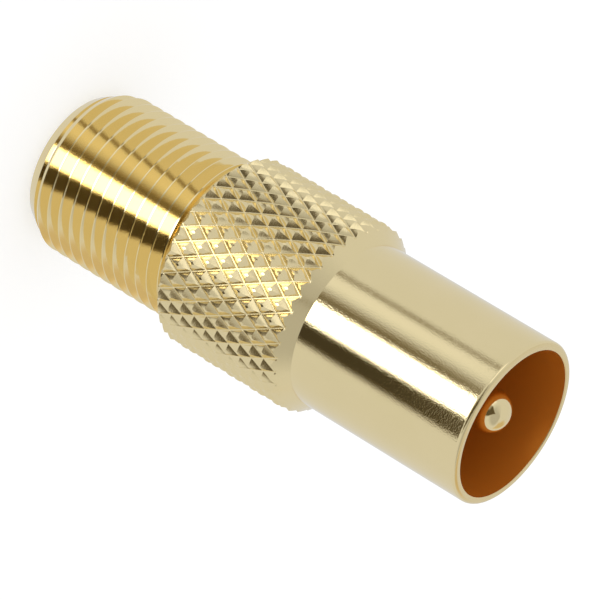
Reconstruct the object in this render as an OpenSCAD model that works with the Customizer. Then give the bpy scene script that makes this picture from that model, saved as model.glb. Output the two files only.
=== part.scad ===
// Coaxial adapter: F jack with an outside thread to a 9.5 mm push-on plug.
// It stands on the jack's face, and +Z runs along its axis to the plug's mouth.

/* [F jack] */
// Major diameter of the outside thread
thread_d = 9.525; // [8.6:0.005:10.4]
// Length of the threaded part, from the jack's face to the collar
thread_len = 10.35; // [8:0.05:16]
// Pitch of the thread, 32 turns to the inch
thread_pitch = 0.794; // [0.7:0.001:0.9]
// Width of the flat land between two grooves of the thread
crest_w = 0.3; // [0.06:0.01:0.36]
// Width of the flat in the thread's root
root_w = 0.04; // [0.02:0.01:0.12]
// Distance of the first groove's middle from the jack's face
groove_start = 0.77; // [0.5:0.01:1.2]
// Least length of the plain land that the collar seats against
collar_land = 0.3; // [0.1:0.05:1]
// Diameter of the jack's flat face
face_d = 8; // [7.2:0.05:8.5]
// Length of the tapered lead-in
lead_len = 1.4; // [0.6:0.05:2.5]
// Bore that holds the front insulator
barrel_bore_d = 6.4; // [5.6:0.05:6.8]
// Air bore behind the front insulator
air_bore_d = 5.4; // [4.2:0.05:5.5]
// Diameter of the spigot that is pressed into the shell
spigot_d = 8.6; // [7.6:0.05:8.6]
// Length of the spigot
spigot_len = 6.4; // [4:0.05:6.6]

/* [Knurled collar] */
// Diameter over the knurl
collar_d = 11.1; // [10.6:0.05:13]
// Length of the collar with its chamfer and shoulder
collar_len = 9; // [9:0.05:14]
// Chamfer at the collar's jack end
collar_chamfer = 0.4; // [0.2:0.05:0.45]
// Depth of the knurl's grooves
knurl_depth = 0.28; // [0.12:0.01:0.3]
// Pitch of the knurl, square to a groove
knurl_pitch = 0.815; // [0.6:0.005:1.6]
// Angle between a groove and the axis
knurl_angle = 30.4; // [25:0.1:45]
// Distance of the first row of points from the collar's jack end
knurl_start = 0.31; // [0.25:0.01:0.4]
// Turn of the pattern about the axis
knurl_turn = 5.4; // [0:0.1:10]
// Depth of the bore that takes the spigot
socket_depth = 6.6; // [6.6:0.05:7]

/* [Plug sleeve] */
// Outside diameter of the sleeve
sleeve_d = 9.5; // [8.8:0.05:10]
// Length of the sleeve, from the shoulder to the mouth
sleeve_len = 11.05; // [8:0.05:14]
// Wall of the sleeve
sleeve_wall = 0.47; // [0.3:0.01:0.6]
// Radius of the rounding at the mouth's outer edge
rim_round = 0.25; // [0.1:0.01:0.3]
// Hole through the web between the two bores
web_bore_d = 5; // [4.2:0.05:6]
// Height of the shoulder that the rear insulator seats on, above the spigot's bore
web_len = 1.65; // [1.2:0.05:2]

/* [Centre pin] */
// Diameter of the pin
pin_d = 2.4; // [2:0.05:2.8]
// Distance of the pin's tip behind the mouth
pin_setback = 0.4; // [0:0.05:2]
// Step from the pin out to its shank, which the rear insulator holds
shank_step = 0.2; // [0.1:0.05:0.4]
// Diameter of the flange behind the rear insulator
flange_d = 3.8; // [3.2:0.05:4.1]
// Thickness of the flange
flange_len = 0.8; // [0.4:0.05:1.2]
// Diameter of the stub that carries the socket contact
stub_d = 1.6; // [1.2:0.05:1.9]
// Length of the stub
stub_len = 3; // [2:0.05:4]

/* [Socket contact] */
// Outside diameter of the contact
contact_d = 3; // [2.6:0.05:3.6]
// Hole for the cable's centre wire
wire_bore_d = 1.1; // [0.9:0.01:1.15]
// Depth of the wire's hole
wire_bore_len = 10; // [5:0.05:11]
// Width of the slot across the contact
slot_w = 0.3; // [0.15:0.01:0.35]
// Length of the slot
slot_len = 5; // [2:0.05:8]

/* [Insulators] */
// Length of the front insulator
front_len = 6; // [3:0.05:8]
// Distance of the front insulator behind the jack's face
front_setback = 0.3; // [0:0.05:0.8]
// Thickness of the front insulator's wall ahead of the contact
front_lip = 1.2; // [0.8:0.05:2]
// Hole in that wall
entry_d = 1.5; // [1.3:0.05:2]
// Wide end of the entry cone
entry_cone_d = 2.8; // [2.2:0.05:4]
// Depth of the entry cone
entry_cone_len = 0.6; // [0.2:0.05:0.7]
// Length of the rear insulator
rear_len = 2.6; // [1.6:0.05:4]
// Chamfer around the rear insulator's front edge
rear_chamfer = 0.3; // [0.1:0.05:0.6]

/* [Fits] */
// Gap on each side of a piece that is pressed in
press_gap = 0.02; // [0.01:0.005:0.04]

/* [Hidden] */
$fn = 96;
// Overlap that lets a cut run past a face
past = 1;
// How far a groove's section reaches past the crests
proud = 0.05;
// Straight steps in a quarter of a rounding
arc_steps = 6;

collar_z = thread_len;
web_z = collar_z + socket_depth;
seat_z = web_z + web_len;
sleeve_z = collar_z + collar_len;
mouth_z = sleeve_z + sleeve_len;
shoulder_len = (collar_d - sleeve_d) / 2;
shoulder_z = sleeve_z - shoulder_len;
plug_bore_d = sleeve_d - 2 * sleeve_wall;
front_end_z = front_setback + front_len;
contact_z = front_setback + front_lip;
flange_z = seat_z - flange_len;
bead_z = seat_z + rear_len;
shank_d = pin_d + 2 * shank_step;
pin_tip_z = mouth_z - pin_setback;
stub_z = flange_z - stub_len;

// The thread is level grooves of the thread's own pitch. Their walls lean 30 degrees, which sets their depth.
flank_angle = 30;
thread_depth = (thread_pitch - crest_w - root_w) / 2 / tan(flank_angle);
groove_w = thread_pitch - crest_w;
groove_count = floor((thread_len - collar_land - groove_w / 2 - groove_start) / thread_pitch) + 1;

// The knurl is two sets of crossing helical grooves, with a pyramid in each diamond between them.
knurl_z = collar_z + knurl_start;
knurl_row = knurl_pitch / (2 * sin(knurl_angle));
knurl_teeth = round(PI * (collar_d - knurl_depth) * cos(knurl_angle) / knurl_pitch);
knurl_rows = floor((shoulder_z + knurl_depth - knurl_z) / knurl_row);
groove_d = collar_d - 2 * knurl_depth;
// The plain core under the knurl, and how far the knurled ring is let into it
core_d = groove_d - 0.1;
let_in = 0.1;

gold = [0.85, 0.76, 0.55];
deep_gold = [0.83, 0.69, 0.36];
milk_white = [0.93, 0.92, 0.88];

// Points of a quarter circle about [x, y], from angle a1 to a2
function arc(x, y, r, a1, a2) = [
    for (i = [0 : arc_steps])
        let (a = a1 + (a2 - a1) * i / arc_steps)
        [x + r * cos(a), y + r * sin(a)]
];

// Radius of the plain collar at height z, where its chamfer and its shoulder bound it
function collar_r_at(z) = min(
    collar_d / 2,
    collar_d / 2 - collar_chamfer + z - collar_z,
    collar_d / 2 + shoulder_z - z
);

// One ring of the knurl: peaks and groove crossings take turns around it
function knurl_ring(z, r_peak, r_groove, turn) = [
    for (j = [0 : 2 * knurl_teeth - 1])
        let (r = (j + turn) % 2 == 0 ? r_peak : r_groove, a = j * 180 / knurl_teeth)
        [r * cos(a), r * sin(a), z]
];

module diamond_knurl() {
    sides = 2 * knurl_teeth;
    low_r = core_d / 2 - let_in;
    inner_r = low_r - let_in;
    first_z = collar_z + knurl_start / 4;
    last_z = shoulder_z + (collar_d - core_d) / 2 + let_in / 2;
    rings = concat(
        [knurl_ring(first_z, low_r, low_r, 1)],
        [for (k = [0 : knurl_rows])
            let (z = knurl_z + k * knurl_row, r = collar_r_at(z))
            knurl_ring(z, r, min(r, groove_d / 2), k)],
        [knurl_ring(last_z, low_r, low_r, knurl_rows + 1)],
        [knurl_ring(last_z, inner_r, inner_r, 0)],
        [knurl_ring(first_z, inner_r, inner_r, 0)]
    );
    count = len(rings);
    faces = [
        for (i = [0 : count - 1], j = [0 : sides - 1], half = [0, 1])
            let (
                a = i * sides + j,
                b = i * sides + (j + 1) % sides,
                c = ((i + 1) % count) * sides + (j + 1) % sides,
                d = ((i + 1) % count) * sides + j,
                groove_ac = (i + j) % 2 == 0
            )
            groove_ac ? (half == 0 ? [a, d, c] : [a, c, b]) : (half == 0 ? [a, d, b] : [d, c, b])
    ];
    rotate([0, 0, knurl_turn])
    polyhedron(points = [for (ring = rings) each ring], faces = faces, convexity = 4);
}

// Section of the thread's grooves
module groove_sections() {
    root_r = thread_d / 2 - thread_depth;
    outer_r = thread_d / 2 + proud;
    outer_w = groove_w + 2 * proud * tan(flank_angle);
    for (i = [0 : groove_count - 1])
        translate([0, groove_start + i * thread_pitch])
        polygon([
            [root_r, -root_w / 2],
            [root_r, root_w / 2],
            [outer_r, outer_w / 2],
            [outer_r, -outer_w / 2]
        ]);
}

module threaded_barrel() {
    color(deep_gold)
    rotate_extrude()
    difference() {
        polygon([
            [barrel_bore_d / 2, 0],
            [face_d / 2, 0],
            [thread_d / 2, lead_len],
            [thread_d / 2, collar_z],
            [spigot_d / 2, collar_z],
            [spigot_d / 2, collar_z + spigot_len],
            [air_bore_d / 2, collar_z + spigot_len],
            [air_bore_d / 2, front_end_z],
            [barrel_bore_d / 2, front_end_z]
        ]);
        groove_sections();
    }
}

module plug_shell() {
    color(gold)
    union() {
        rotate_extrude()
        polygon(concat(
            [
                [spigot_d / 2 + press_gap, collar_z],
                [collar_d / 2 - collar_chamfer, collar_z],
                [core_d / 2, collar_z + (core_d - collar_d) / 2 + collar_chamfer],
                [core_d / 2, shoulder_z + (collar_d - core_d) / 2],
                [sleeve_d / 2, sleeve_z]
            ],
            arc(sleeve_d / 2 - rim_round, mouth_z - rim_round, rim_round, 0, 90),
            [
                [plug_bore_d / 2, mouth_z],
                [plug_bore_d / 2, seat_z],
                [web_bore_d / 2, seat_z],
                [web_bore_d / 2, web_z],
                [spigot_d / 2 + press_gap, web_z]
            ]
        ));
        diamond_knurl();
    }
}

module front_insulator() {
    color(milk_white)
    rotate_extrude()
    polygon([
        [entry_cone_d / 2, front_setback],
        [barrel_bore_d / 2 - press_gap, front_setback],
        [barrel_bore_d / 2 - press_gap, front_end_z],
        [contact_d / 2 + press_gap, front_end_z],
        [contact_d / 2 + press_gap, contact_z],
        [entry_d / 2, contact_z],
        [entry_d / 2, front_setback + entry_cone_len]
    ]);
}

module socket_contact() {
    color(gold)
    difference() {
        rotate_extrude()
        polygon([
            [wire_bore_d / 2, contact_z],
            [contact_d / 2, contact_z],
            [contact_d / 2, flange_z],
            [stub_d / 2 + press_gap, flange_z],
            [stub_d / 2 + press_gap, stub_z],
            [0, stub_z],
            [0, contact_z + wire_bore_len],
            [wire_bore_d / 2, contact_z + wire_bore_len]
        ]);
        translate([-contact_d, -slot_w / 2, contact_z - past])
        cube([2 * contact_d, slot_w, slot_len + past]);
    }
}

module centre_pin() {
    color(gold)
    union() {
        translate([0, 0, stub_z])
        cylinder(d = stub_d, h = stub_len);
        translate([0, 0, flange_z])
        cylinder(d = flange_d, h = flange_len);
        translate([0, 0, seat_z])
        cylinder(d = shank_d, h = rear_len);
        translate([0, 0, bead_z])
        cylinder(d = pin_d, h = pin_tip_z - pin_d / 2 - bead_z);
        translate([0, 0, pin_tip_z - pin_d / 2])
        sphere(d = pin_d);
    }
}

module rear_insulator() {
    outer_r = plug_bore_d / 2 - press_gap;
    color(milk_white)
    rotate_extrude()
    polygon([
        [shank_d / 2 + press_gap, seat_z],
        [outer_r, seat_z],
        [outer_r, bead_z - rear_chamfer],
        [outer_r - rear_chamfer, bead_z],
        [shank_d / 2 + press_gap, bead_z]
    ]);
}

threaded_barrel();
plug_shell();
front_insulator();
socket_contact();
centre_pin();
rear_insulator();
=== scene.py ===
import math

import bmesh
import bpy
from mathutils import Matrix, Vector


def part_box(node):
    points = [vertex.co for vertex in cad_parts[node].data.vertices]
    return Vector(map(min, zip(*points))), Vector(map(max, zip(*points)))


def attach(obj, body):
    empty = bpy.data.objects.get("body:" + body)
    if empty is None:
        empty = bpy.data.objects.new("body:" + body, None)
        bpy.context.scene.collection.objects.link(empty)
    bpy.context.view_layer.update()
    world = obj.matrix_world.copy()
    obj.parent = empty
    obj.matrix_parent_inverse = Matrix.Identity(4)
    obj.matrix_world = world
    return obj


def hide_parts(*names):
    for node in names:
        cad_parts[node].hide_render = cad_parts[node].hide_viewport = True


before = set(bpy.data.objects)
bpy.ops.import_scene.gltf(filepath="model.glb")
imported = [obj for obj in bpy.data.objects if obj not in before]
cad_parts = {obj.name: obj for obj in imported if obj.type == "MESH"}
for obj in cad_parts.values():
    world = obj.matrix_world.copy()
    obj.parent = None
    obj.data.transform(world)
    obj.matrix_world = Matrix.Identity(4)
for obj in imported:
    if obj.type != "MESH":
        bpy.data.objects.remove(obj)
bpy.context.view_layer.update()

MM = 0.001

# ---------------------------------------------------------------- sizes, in mm

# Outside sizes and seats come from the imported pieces
barrel_lo, barrel_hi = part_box("threaded_barrel")
shell_lo, shell_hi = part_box("plug_shell")
front_lo, front_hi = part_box("front_insulator")
rear_lo, rear_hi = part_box("rear_insulator")
contact_lo, contact_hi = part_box("socket_contact")
pin_lo, pin_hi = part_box("centre_pin")

THREAD_R = barrel_hi.x / MM
SPIGOT_END_Z = barrel_hi.z / MM
COLLAR_R = shell_hi.x / MM
COLLAR_Z = shell_lo.z / MM
MOUTH_Z = shell_hi.z / MM
SEAT_Z = rear_lo.z / MM
BEAD_Z = rear_hi.z / MM
PIN_TIP_Z = pin_hi.z / MM
STUB_Z = pin_lo.z / MM

SLEEVE_R = 4.75
BORE_R = SLEEVE_R - 0.47
RIM_ROUND = 0.25
COLLAR_CHAMFER = 0.4
SLEEVE_Z = COLLAR_Z + 9.0
SHOULDER_Z = SLEEVE_Z - (COLLAR_R - SLEEVE_R)
WEB_R = 2.5
WEB_Z = SEAT_Z - 1.65
SPIGOT_R = 4.3
PRESS_GAP = 0.02

FACE_R = 4.0
LEAD_LEN = 1.4
BARREL_BORE_R = 3.2
AIR_BORE_R = 2.7
FRONT_END_Z = front_hi.z / MM

# A sharp thread with flats on its crest and in its root, and flanks 30 degrees from square to the axis
THREAD_PITCH = 25.4 / 32
THREAD_CREST = 0.06
THREAD_ROOT = 0.04
THREAD_FLANK = (THREAD_PITCH - THREAD_CREST - THREAD_ROOT) / 2
THREAD_DEPTH = THREAD_FLANK / math.tan(math.radians(30))
# Height of the thread's helix where it starts, which puts its crests level with the solid's in front
THREAD_START = -0.256

KNURL_TEETH = 36
KNURL_DEPTH = 0.27
KNURL_ROW = 0.806
# Turn of the knurl about the axis, in degrees, and height of one crossing of its grooves above the
# collar's start
KNURL_TURN = 5.4
KNURL_START = 1.12
# Half of a groove's section, from its middle out to a pyramid's flat top. Each point is [distance as a
# part of a pitch, height as a part of the depth]: a rounded floor, then a slightly convex wall.
KNURL_SECTION = [(0.015, 0.0), (0.04, 0.04), (0.065, 0.115), (0.22, 0.57), (0.42, 1.0)]

PIN_R = 1.2
SHANK_R = 1.4
FLANGE_R = 1.9
FLANGE_LEN = 0.8
STUB_R = 0.8


# ---------------------------------------------------------------- mesh helpers

def mesh_object(name, verts, faces):
    """An object in metres from points in mm."""
    mesh = bpy.data.meshes.new(name)
    mesh.from_pydata([(x * MM, y * MM, z * MM) for x, y, z in verts], [], faces)
    mesh.validate()
    obj = bpy.data.objects.new(name, mesh)
    bpy.context.scene.collection.objects.link(obj)
    return obj


def smooth(obj, angle=30.0):
    """Smooth shading, with every edge sharper than the angle kept as a crease."""
    for p in obj.data.polygons:
        p.use_smooth = True
    obj.data.set_sharp_from_angle(angle=math.radians(angle))
    return obj


def lathe(name, outline, segments=256):
    """Turns a closed outline of [radius, height] points about the axis."""
    verts, rings, faces = [], [], []
    for r, z in outline:
        steps = 1 if r < 1e-6 else segments
        rings.append(range(len(verts), len(verts) + steps))
        for i in range(steps):
            a = 2 * math.pi * i / segments
            verts.append((r * math.cos(a), r * math.sin(a), z))
    for low, high in zip(rings, rings[1:] + rings[:1]):
        if len(low) == len(high) == 1:
            continue
        for i in range(segments):
            j = (i + 1) % segments
            if len(low) == 1:
                faces.append((low[0], high[j], high[i]))
            elif len(high) == 1:
                faces.append((low[i], low[j], high[0]))
            else:
                faces.append((low[i], low[j], high[j], high[i]))
    return mesh_object(name, verts, faces)


def arc(x, z, r, a1, a2, steps=8):
    """Points of an arc about [x, z], from angle a1 to a2 in degrees."""
    angles = [math.radians(a1 + (a2 - a1) * i / steps) for i in range(steps + 1)]
    return [(x + r * math.cos(a), z + r * math.sin(a)) for a in angles]


def cutter_from_wall(name, verts, faces, z0, z1, outer_r):
    """Closes an open wall about the axis into a ring: cut level at z0 and z1, with a plain outer wall."""
    obj = mesh_object(name, verts, faces)
    bm = bmesh.new()
    bm.from_mesh(obj.data)
    for z, up in ((z0, -1), (z1, 1)):
        bmesh.ops.bisect_plane(
            bm, geom=bm.verts[:] + bm.edges[:] + bm.faces[:], dist=1e-9,
            plane_co=(0, 0, z * MM), plane_no=(0, 0, up), clear_outer=True)
    for z in (z0, z1):
        loop = [e for e in bm.edges if e.is_boundary and all(abs(v.co.z - z * MM) < 1e-8 for v in e.verts)]
        made = bmesh.ops.extrude_edge_only(bm, edges=loop)
        for v in [g for g in made["geom"] if isinstance(g, bmesh.types.BMVert)]:
            flat = Vector((v.co.x, v.co.y, 0)).normalized() * outer_r * MM
            v.co = Vector((flat.x, flat.y, v.co.z))
    # The outer wall joins the two outer circles by angle
    rim = [e for e in bm.edges if e.is_boundary]
    bmesh.ops.bridge_loops(bm, edges=rim)
    bmesh.ops.recalc_face_normals(bm, faces=bm.faces[:])
    bm.to_mesh(obj.data)
    bm.free()
    return obj


def cut(obj, tool):
    """Takes the tool's solid out of the object and deletes the tool."""
    mod = obj.modifiers.new("cut", "BOOLEAN")
    mod.operation = "DIFFERENCE"
    mod.solver = "EXACT"
    mod.object = tool
    depsgraph = bpy.context.evaluated_depsgraph_get()
    mesh = bpy.data.meshes.new_from_object(obj.evaluated_get(depsgraph))
    obj.modifiers.clear()
    obj.data = mesh
    bpy.data.objects.remove(tool)
    return obj


# ---------------------------------------------------------------- materials

def gold(name, color, roughness, grain_scale, grain, tint=0.04, metallic=1.0):
    """Gold plate: polished metal with a fine satin grain and faint stains."""
    mat = bpy.data.materials.new(name)
    mat.use_nodes = True
    nodes, links = mat.node_tree.nodes, mat.node_tree.links
    bsdf = nodes["Principled BSDF"]
    bsdf.inputs["Metallic"].default_value = metallic
    coord = nodes.new("ShaderNodeTexCoord")

    fine = nodes.new("ShaderNodeTexNoise")
    fine.inputs["Scale"].default_value = grain_scale
    fine.inputs["Detail"].default_value = 3.0
    links.new(coord.outputs["Object"], fine.inputs["Vector"])
    bump = nodes.new("ShaderNodeBump")
    bump.inputs["Distance"].default_value = grain
    links.new(fine.outputs["Fac"], bump.inputs["Height"])
    links.new(bump.outputs["Normal"], bsdf.inputs["Normal"])

    broad = nodes.new("ShaderNodeTexNoise")
    broad.inputs["Scale"].default_value = 450.0
    links.new(coord.outputs["Object"], broad.inputs["Vector"])
    shade = nodes.new("ShaderNodeMapRange")
    shade.inputs["To Min"].default_value = roughness * 0.85
    shade.inputs["To Max"].default_value = roughness * 1.15
    links.new(broad.outputs["Fac"], shade.inputs["Value"])
    links.new(shade.outputs["Result"], bsdf.inputs["Roughness"])

    mix = nodes.new("ShaderNodeMix")
    mix.data_type = "RGBA"
    r, g, b = color
    mix.inputs[6].default_value = (r, g, b, 1)
    mix.inputs[7].default_value = (r * (1 - tint), g * (1 - tint), b * (1 - 2 * tint), 1)
    links.new(broad.outputs["Fac"], mix.inputs[0])
    links.new(mix.outputs[2], bsdf.inputs["Base Color"])
    return mat


def plastic(name, color, roughness):
    """Milky moulded plastic."""
    mat = bpy.data.materials.new(name)
    mat.use_nodes = True
    nodes, links = mat.node_tree.nodes, mat.node_tree.links
    bsdf = nodes["Principled BSDF"]
    bsdf.inputs["Base Color"].default_value = (*color, 1)
    bsdf.inputs["Subsurface Weight"].default_value = 0.3
    bsdf.inputs["Subsurface Radius"].default_value = (0.001, 0.001, 0.001)
    bsdf.inputs["Subsurface Scale"].default_value = 0.5
    coord = nodes.new("ShaderNodeTexCoord")
    noise = nodes.new("ShaderNodeTexNoise")
    noise.inputs["Scale"].default_value = 3000.0
    links.new(coord.outputs["Object"], noise.inputs["Vector"])
    shade = nodes.new("ShaderNodeMapRange")
    shade.inputs["To Min"].default_value = roughness * 0.8
    shade.inputs["To Max"].default_value = roughness * 1.2
    links.new(noise.outputs["Fac"], shade.inputs["Value"])
    links.new(shade.outputs["Result"], bsdf.inputs["Roughness"])
    bump = nodes.new("ShaderNodeBump")
    bump.inputs["Strength"].default_value = 0.3
    bump.inputs["Distance"].default_value = 0.00001
    links.new(noise.outputs["Fac"], bump.inputs["Height"])
    links.new(bump.outputs["Normal"], bsdf.inputs["Normal"])
    return mat


GOLD = (0.92, 0.76, 0.42)
gold_shell = gold("gold_shell", GOLD, 0.05, 12500.0, 0.0000055)
gold_knurl = gold("gold_knurl", GOLD, 0.16, 12000.0, 0.000003)
gold_rim = gold("gold_rim", (0.87, 0.7, 0.37), 0.2, 9000.0, 0.000002)
# The bore's deep amber colour and half metal finish are painted shade: it is the same gold plate as outside,
# coloured as dark as repeated reflections inside the bore make it look.
gold_bore_painted_shade = gold("gold_bore_painted_shade", (0.62, 0.205, 0.018), 0.3, 9000.0, 0.000001, 0.02, 0.5)
gold_thread = gold("gold_thread", (0.95, 0.775, 0.415), 0.09, 9000.0, 0.0000015)
gold_contact = gold("gold_contact", GOLD, 0.08, 9000.0, 0.000001)
milky = plastic("insulator_plastic", (0.86, 0.85, 0.8), 0.35)


def piece(obj, node, mat, crease=30.0):
    """Finishes a piece that stands for a CAD node."""
    smooth(obj, crease)
    obj.data.materials.clear()
    obj.data.materials.append(mat)
    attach(obj, "root")
    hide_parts(node)
    return obj


# ---------------------------------------------------------------- plug shell

def groove_height(u):
    """Height across one set of grooves, 0 on a groove's floor and 1 on the tops; u counts pitches."""
    u = abs(u - round(u))
    before = (0.0, 0.0)
    for point in KNURL_SECTION:
        if u <= point[0]:
            share = (u - before[0]) / (point[0] - before[0])
            return before[1] + share * (point[1] - before[1])
        before = point
    return 1.0


def knurl_wall(z0, z1):
    """Two crossing sets of helical grooves, meshed along their own edges so that each crease is clean."""
    rise = [u for u, _ in KNURL_SECTION]
    steps = [-rise[0]] + rise + [1 - u for u in reversed(rise[1:])]
    per = len(steps)
    around = per * KNURL_TEETH
    lead = 2 * KNURL_ROW
    start = COLLAR_Z + KNURL_START
    index, verts, faces = {}, [], []

    def vertex(ia, ib):
        turns = ia // around
        key = (ia - turns * around, ib - turns * around)
        if key not in index:
            a = ia // per + steps[ia % per]
            b = ib // per + steps[ib % per]
            angle = (a + b) * math.pi / KNURL_TEETH + math.radians(KNURL_TURN)
            r = COLLAR_R - KNURL_DEPTH * (1 - min(groove_height(a), groove_height(b)))
            index[key] = len(verts)
            verts.append((r * math.cos(angle), r * math.sin(angle), start + (a - b) * lead / 2))
        return index[key]

    low = math.floor((z0 - start) / KNURL_ROW) - 2
    high = math.ceil((z1 - start) / KNURL_ROW) + 2
    for ia in range(around):
        for ib in range(ia - high * per, ia - low * per):
            p, q, r, s = vertex(ia, ib), vertex(ia + 1, ib), vertex(ia + 1, ib + 1), vertex(ia, ib + 1)
            ka, kb = ia % per, ib % per
            # On a pyramid's corner the crease runs along the rising diagonal
            rising = (1 <= ka < len(rise)) == (1 <= kb < len(rise))
            if rising:
                faces += [(p, q, r), (p, r, s)]
            else:
                faces += [(p, q, s), (q, r, s)]
    return verts, faces


def make_plug_shell():
    proud = 0.05
    cut_r = COLLAR_R + proud
    shell = lathe("plug_shell_turned", [
        (SPIGOT_R + PRESS_GAP, COLLAR_Z),
        (COLLAR_R - COLLAR_CHAMFER, COLLAR_Z),
        (cut_r, COLLAR_Z + COLLAR_CHAMFER + proud),
        (cut_r, SHOULDER_Z - proud),
        (SLEEVE_R, SLEEVE_Z),
        *arc(SLEEVE_R - RIM_ROUND, MOUTH_Z - RIM_ROUND, RIM_ROUND, 0, 90),
        *arc(BORE_R + 0.05, MOUTH_Z - 0.05, 0.05, 90, 180, 4),
        (BORE_R, SEAT_Z),
        (WEB_R, SEAT_Z),
        (WEB_R, WEB_Z),
        (SPIGOT_R + PRESS_GAP, WEB_Z),
    ])
    z0, z1 = COLLAR_Z - 0.3, SHOULDER_Z + 0.6
    verts, faces = knurl_wall(z0, z1)
    cut(shell, cutter_from_wall("knurl_cutter", verts, faces, z0, z1, COLLAR_R + 1))
    piece(shell, "plug_shell", gold_shell, 31.0)
    for mat in (gold_knurl, gold_bore_painted_shade, gold_rim):
        shell.data.materials.append(mat)
    for face in shell.data.polygons:
        x, y, z = face.center / MM
        r = math.hypot(x, y)
        if z > MOUTH_Z - 0.06:
            face.material_index = 3
        # Faces inside the bore, from the seat up to the mouth, take the bore's painted shade
        elif z > SEAT_Z and r < BORE_R + 0.06:
            face.material_index = 2
        elif z < SLEEVE_Z - 0.01:
            face.material_index = 1
    return shell


# ---------------------------------------------------------------- threaded barrel

def thread_wall(z0, z1, around=160):
    """The thread's helical surface: crest, flank, root and flank, one strip of faces for each turn."""
    root_r = THREAD_R - THREAD_DEPTH
    root_z = THREAD_CREST + THREAD_FLANK
    section = [
        (0.0, THREAD_R),
        (THREAD_CREST, THREAD_R),
        (THREAD_CREST + THREAD_FLANK / 2, (THREAD_R + root_r) / 2),
        (root_z, root_r),
        (root_z + THREAD_ROOT, root_r),
        (root_z + THREAD_ROOT + THREAD_FLANK / 2, (THREAD_R + root_r) / 2),
    ]
    per = len(section)
    first = math.floor(z0 / THREAD_PITCH) - 1
    turns = math.ceil(z1 / THREAD_PITCH) + 1 - first
    verts, faces = [], []
    for t in range(turns * around + 1):
        angle = 2 * math.pi * t / around
        for step, r in section:
            z = THREAD_START + (first + t / around) * THREAD_PITCH + step
            verts.append((r * math.cos(angle), r * math.sin(angle), z))
    for t in range((turns - 1) * around):
        for k in range(per):
            a = t * per + k
            b = a + per
            if k < per - 1:
                faces.append((a, b, b + 1, a + 1))
            else:
                c, d = (t + around) * per, (t + around + 1) * per
                faces.append((a, b, d, c))
    return verts, faces


def make_threaded_barrel():
    proud = 0.05
    slope = (THREAD_R - FACE_R) / LEAD_LEN
    barrel = lathe("threaded_barrel_turned", [
        (BARREL_BORE_R, 0.08),
        (BARREL_BORE_R + 0.08, 0),
        *arc(FACE_R - 0.1, 0.1, 0.1, -90, -25, 4),
        (THREAD_R + proud, LEAD_LEN + proud / slope),
        (THREAD_R + proud, COLLAR_Z),
        (SPIGOT_R, COLLAR_Z),
        (SPIGOT_R, SPIGOT_END_Z),
        (AIR_BORE_R, SPIGOT_END_Z),
        (AIR_BORE_R, FRONT_END_Z),
        (BARREL_BORE_R, FRONT_END_Z),
    ])
    z0, z1 = -0.3, COLLAR_Z + 0.1
    verts, faces = thread_wall(z0, z1)
    cut(barrel, cutter_from_wall("thread_cutter", verts, faces, z0, z1, THREAD_R + 1))
    return piece(barrel, "threaded_barrel", gold_thread, 18.0)


# ---------------------------------------------------------------- pin, contact and insulators

def make_centre_pin():
    flange_z = SEAT_Z - FLANGE_LEN
    ball_z = PIN_TIP_Z - PIN_R
    pin = lathe("centre_pin_turned", [
        (0, STUB_Z),
        (STUB_R - 0.1, STUB_Z),
        (STUB_R, STUB_Z + 0.1),
        (STUB_R, flange_z),
        (FLANGE_R, flange_z),
        (FLANGE_R, SEAT_Z),
        (SHANK_R, SEAT_Z),
        (SHANK_R, BEAD_Z),
        (PIN_R, BEAD_Z),
        *arc(0, ball_z, PIN_R, 0, 88, 24),
        (0, PIN_TIP_Z),
    ], 128)
    return piece(pin, "centre_pin", gold_contact)


def make_rear_insulator():
    outer_r = BORE_R - PRESS_GAP
    bead = lathe("rear_insulator_moulded", [
        (SHANK_R + PRESS_GAP, SEAT_Z),
        (outer_r, SEAT_Z),
        (outer_r, BEAD_Z - 0.3),
        (outer_r - 0.3, BEAD_Z),
        (SHANK_R + 0.1, BEAD_Z),
        (SHANK_R + PRESS_GAP, BEAD_Z - 0.08),
    ], 128)
    return piece(bead, "rear_insulator", milky)


plug_shell = make_plug_shell()
threaded_barrel = make_threaded_barrel()
centre_pin = make_centre_pin()
rear_insulator = make_rear_insulator()
for node, mat in (("front_insulator", milky), ("socket_contact", gold_contact)):
    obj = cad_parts[node]
    obj.data.materials.clear()
    obj.data.materials.append(mat)


# ---------------------------------------------------------------- floor, light and camera

def make_floor():
    """White floor under the jack's face, with the object's own soft shadow."""
    half = 1.2
    mesh = bpy.data.meshes.new("floor")
    corners = [(-half, -half, 0), (half, -half, 0), (half, half, 0), (-half, half, 0)]
    mesh.from_pydata(corners, [], [(0, 1, 2, 3)])
    floor = bpy.data.objects.new("floor", mesh)
    bpy.context.scene.collection.objects.link(floor)
    mat = bpy.data.materials.new("floor_white")
    mat.use_nodes = True
    nodes, links = mat.node_tree.nodes, mat.node_tree.links
    nodes.remove(nodes["Principled BSDF"])
    diffuse = nodes.new("ShaderNodeBsdfDiffuse")
    diffuse.inputs["Color"].default_value = (0.5, 0.5, 0.5, 1)
    glow = nodes.new("ShaderNodeEmission")
    glow.inputs["Color"].default_value = (1, 1, 1, 1)
    path = nodes.new("ShaderNodeLightPath")
    amount = nodes.new("ShaderNodeMath")
    amount.operation = "MULTIPLY"
    amount.inputs[1].default_value = 0.56
    links.new(path.outputs["Is Camera Ray"], amount.inputs[0])
    links.new(amount.outputs[0], glow.inputs["Strength"])
    add = nodes.new("ShaderNodeAddShader")
    links.new(diffuse.outputs[0], add.inputs[0])
    links.new(glow.outputs[0], add.inputs[1])
    links.new(add.outputs[0], nodes["Material Output"].inputs["Surface"])
    mesh.materials.append(mat)
    floor.visible_glossy = False
    return floor


# The studio around the object as its gold sees it: pale paper, with a gap in front for the camera and a
# bright lamp low in front. It is seen in reflections only. Each stop is [degrees round from the camera,
# brightness] of a level band, which lies low where the sleeve looks.
PAPER = 0.74
PAPER_TINT = (0.97, 1.0, 1.08)
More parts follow.
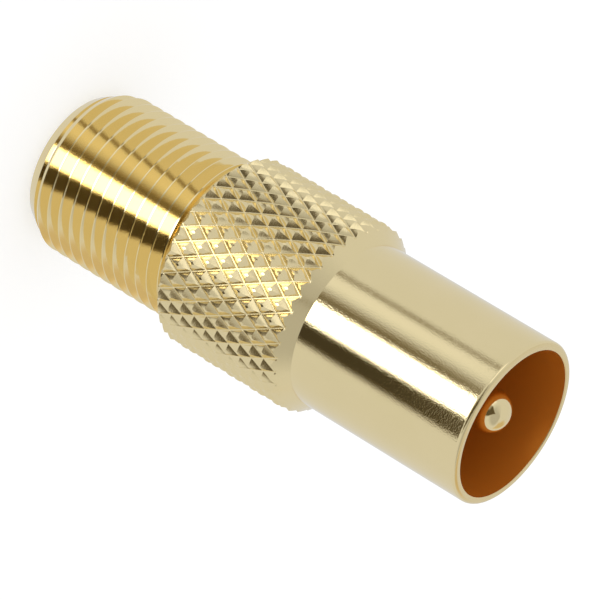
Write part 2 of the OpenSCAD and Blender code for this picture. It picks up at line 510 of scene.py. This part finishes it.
# What is dim is also warmer
DIM_TINT = (1.2, 1.0, 0.66)
LOW_BAND = [
    (-54, PAPER), (-49, 0.05), (-24.5, 0.05), (-20, 4.5), (1, 4.5), (6, 0.14), (14, 0.16),
    (20, 0.42), (26, 0.74), (34, 0.9), (46, 0.86), (49.5, 0.24), (52.5, 0.24), (56, PAPER),
]
# The same at the height where the knurl's upper faces look, and the weight of each band by elevation
HIGH_BAND = [(-44, PAPER), (-34, 0.08), (-6, 0.08), (6, 0.5), (24, 0.6), (30, 1.15), (56, 1.15), (64, PAPER)]
LOW_WEIGHT = [(-46, 0), (-38, 1), (-20, 1), (-14, 0)]
HIGH_WEIGHT = [(2, 0), (8, 1), (18, 1), (30, 0)]
# A warm card behind: its share, and its weight by angle and by elevation
CARD = 0.54
CARD_AROUND = [(-175, 0), (-160, 1), (-130, 1), (-123, 0)]
CARD_UP = [(20, 0), (27, 1), (52, 1), (62, 0)]
# The room over the camera, and round to one side of it, is dimmer than the paper
CEILING = 0.52
CEILING_AROUND = [(-122, 0), (-104, 1), (20, 1), (80, 0)]
CEILING_UP = [(32, 0), (46, 1)]
# A dim patch far below, where the knurl's lower faces look
BELOW = 0.06
BELOW_AROUND = [(-8, 0), (4, 1), (52, 1), (64, 0)]
BELOW_UP = [(-82, 0), (-77, 1), (-65, 1), (-59, 0)]


class NodeSums:
    """Writes sums of values as shader nodes."""

    def __init__(self, tree):
        self.nodes, self.links = tree.nodes, tree.links

    def math(self, op, *values):
        n = self.nodes.new("ShaderNodeMath")
        n.operation = op
        for socket, v in zip(n.inputs, values):
            if isinstance(v, (int, float)):
                socket.default_value = v
            else:
                self.links.new(v, socket)
        return n.outputs[0]

    def ramp(self, value, stops, low, high):
        """A value read from stops that run from low to high."""
        n = self.nodes.new("ShaderNodeValToRGB")
        elements = n.color_ramp.elements
        while len(elements) > 1:
            elements.remove(elements[-1])
        top = max(v for _, v in stops)
        for k, (at, v) in enumerate(stops):
            place = (at - low) / (high - low)
            e = elements[0] if k == 0 else elements.new(place)
            e.position = place
            e.color = (v / top, v / top, v / top, 1)
        share = self.math("DIVIDE", self.math("SUBTRACT", value, low), high - low)
        self.links.new(share, n.inputs["Fac"])
        return self.math("MULTIPLY", n.outputs["Color"], top)

    def blend(self, weight, a, b):
        """a where the weight is 0 and b where it is 1."""
        return self.math("MULTIPLY_ADD", weight, self.math("SUBTRACT", b, a), a)


def make_world():
    world = bpy.data.worlds.new("studio")
    bpy.context.scene.world = world
    world.use_nodes = True
    nodes, links = world.node_tree.nodes, world.node_tree.links
    back = nodes["Background"]
    back.inputs["Strength"].default_value = 1.0
    coord = nodes.new("ShaderNodeTexCoord")
    split = nodes.new("ShaderNodeSeparateXYZ")
    links.new(coord.outputs["Generated"], split.inputs[0])
    sums = NodeSums(world.node_tree)

    minus_x = sums.math("MULTIPLY", split.outputs["X"], -1)
    minus_y = sums.math("MULTIPLY", split.outputs["Y"], -1)
    around = sums.math("DEGREES", sums.math("ARCTAN2", minus_x, minus_y))
    up = sums.math("DEGREES", sums.math("ARCSINE", split.outputs["Z"]))

    def patch(by_angle, by_elevation):
        share = sums.ramp(around, by_angle, -180, 180)
        return sums.math("MULTIPLY", share, sums.ramp(up, by_elevation, -90, 90))

    # The camera's gap narrows towards the top, to end 66 degrees up
    reach = sums.math("MAXIMUM", sums.math("SUBTRACT", 66, up), 0)
    off = sums.math("ABSOLUTE", sums.math("ADD", around, 4))
    past = sums.math("DIVIDE", sums.math("SUBTRACT", sums.math("MINIMUM", reach, 34), off), 6)
    gap = sums.math("MINIMUM", sums.math("MAXIMUM", past, 0), sums.ramp(up, [(8, 0), (20, 1)], -90, 90))
    ceiling = patch(CEILING_AROUND, CEILING_UP)
    light = sums.blend(ceiling, PAPER, CEILING)
    light = sums.blend(sums.math("MINIMUM", gap, 1), light, 0.09)
    card = patch(CARD_AROUND, CARD_UP)
    light = sums.blend(card, light, CARD)
    light = sums.blend(patch(BELOW_AROUND, BELOW_UP), light, BELOW)
    light = sums.blend(sums.ramp(up, HIGH_WEIGHT, -90, 90), light, sums.ramp(around, HIGH_BAND, -180, 180))
    light = sums.blend(sums.ramp(up, LOW_WEIGHT, -90, 90), light, sums.ramp(around, LOW_BAND, -180, 180))
    dim = sums.ramp(light, [(0.1, 1), (0.5, 0)], 0, 1)
    dim = sums.math("MAXIMUM", dim, card)
    tint = nodes.new("ShaderNodeCombineXYZ")
    for socket, plain, warm in zip(tint.inputs, PAPER_TINT, DIM_TINT):
        links.new(sums.math("MULTIPLY", light, sums.blend(dim, plain, warm)), socket)

    path = nodes.new("ShaderNodeLightPath")
    pick = nodes.new("ShaderNodeMix")
    pick.data_type = "RGBA"
    links.new(path.outputs["Is Glossy Ray"], pick.inputs[0])
    pick.inputs[6].default_value = (1, 1, 1, 1)
    links.new(tint.outputs[0], pick.inputs[7])
    links.new(pick.outputs[2], back.inputs["Color"])


def make_camera():
    """Looks down at the upright adapter, rolled so that the mouth points down right."""
    elevation = math.radians(28.13)
    roll = math.radians(-121.11)
    distance = 256.5
    aim = Vector((0.2, 0, 16.0))
    forward = Vector((0, math.cos(elevation), -math.sin(elevation)))
    level = Vector((1, 0, 0))
    upright = level.cross(forward)
    right = math.cos(roll) * level - math.sin(roll) * upright
    up = math.sin(roll) * level + math.cos(roll) * upright
    data = bpy.data.cameras.new("camera")
    data.lens = 291.5
    data.sensor_width = 36
    camera = bpy.data.objects.new("camera", data)
    bpy.context.scene.collection.objects.link(camera)
    turn = Matrix((right, up, -forward)).transposed().to_4x4()
    camera.matrix_world = Matrix.Translation((aim - forward * distance) * MM) @ turn
    data.clip_start = 0.01
    bpy.context.scene.camera = camera


make_floor()
make_world()
make_camera()
bpy.context.scene.view_settings.view_transform = "Standard"
